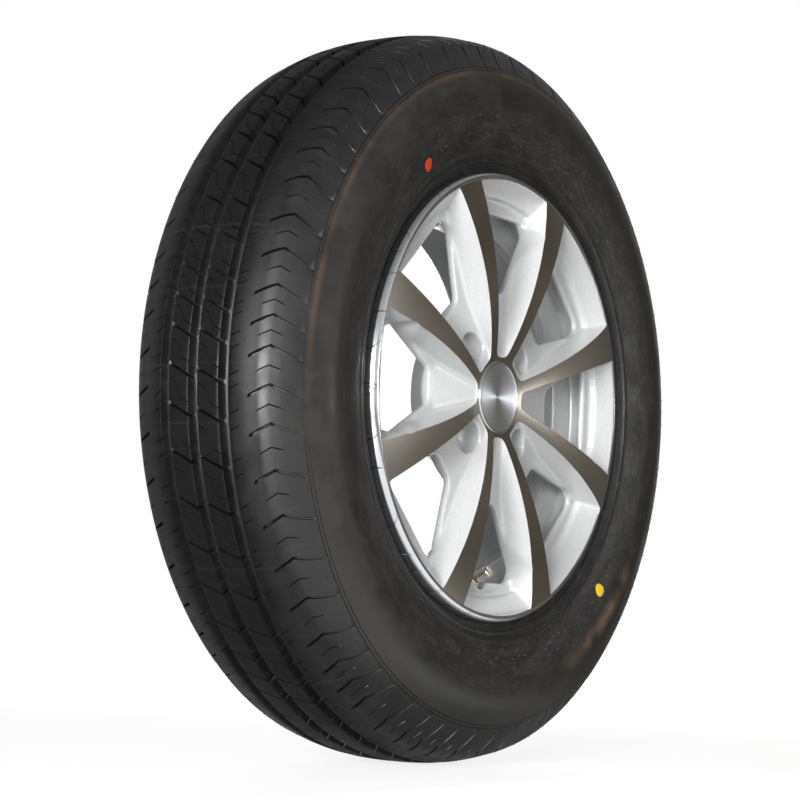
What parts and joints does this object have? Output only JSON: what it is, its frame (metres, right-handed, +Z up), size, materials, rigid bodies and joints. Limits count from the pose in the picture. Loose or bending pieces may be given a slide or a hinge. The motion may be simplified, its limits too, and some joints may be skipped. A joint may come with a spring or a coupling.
{
  "type": "wheel and tyre assembly",
  "caption": "Road wheel for a small van or trailer: cast spoked alloy wheel with a clip-in centre cap, a radial tyre with a ribbed tread, and a clamp-in valve with a screw-on dust cap.",
  "frame": {"origin": "centre of the wheel, on the axle line and in the middle plane of the tyre", "axes": "+Y along the axle towards the vehicle, so the street face looks towards -Y; +Z up, valve at the bottom"},
  "size_m": [0.5932, 0.169, 0.5932],
  "materials": {
    "cast_alloy": "silver paint with machined face",
    "tyre_rubber": "moulded, dusty",
    "cap_plastic": "metallised",
    "spun_metal": "spun",
    "spring_steel": "bright",
    "valve_brass": "nickel plated",
    "core_brass": "bare",
    "seal_rubber": "moulded"
  },
  "bodies": {
    "wheel": {"alloy_wheel": "cast_alloy", "tyre": "tyre_rubber", "centre_cap": "cap_plastic", "cap_face_disc": "spun_metal", "cap_spring_band": "spring_steel", "valve_stem": "valve_brass", "valve_grommet": "seal_rubber", "valve_washer": "valve_brass", "valve_nut": "valve_brass", "valve_core_barrel": "core_brass"},
    "core_pin": {"valve_core_pin": "core_brass"},
    "cap_seal": {"valve_cap_seal": "seal_rubber"},
    "dust_cap": {"valve_cap": "valve_brass"}
  },
  "joints": [
    {"name": "core_pin_press", "type": "slide", "parent": "wheel", "child": "core_pin", "axis": [0, 0.866, -0.5], "range_m": [0, 0.0012], "stiffness_N_per_m": 2000},
    {"name": "dust_cap_lift", "type": "slide", "parent": "wheel", "child": "cap_seal", "axis": [0, -0.866, 0.5], "range_m": [0, 0.006]},
    {"name": "dust_cap_turn", "type": "hinge", "parent": "cap_seal", "child": "dust_cap", "pos_m": [0, -0.048, -0.1516], "axis": [0, -0.866, 0.5], "range_deg": [0, 2720.4]}
  ],
  "couplings": [
    {"joint": "dust_cap_turn", "follows": "dust_cap_lift", "rad_per_m": 7913.3}
  ]
}
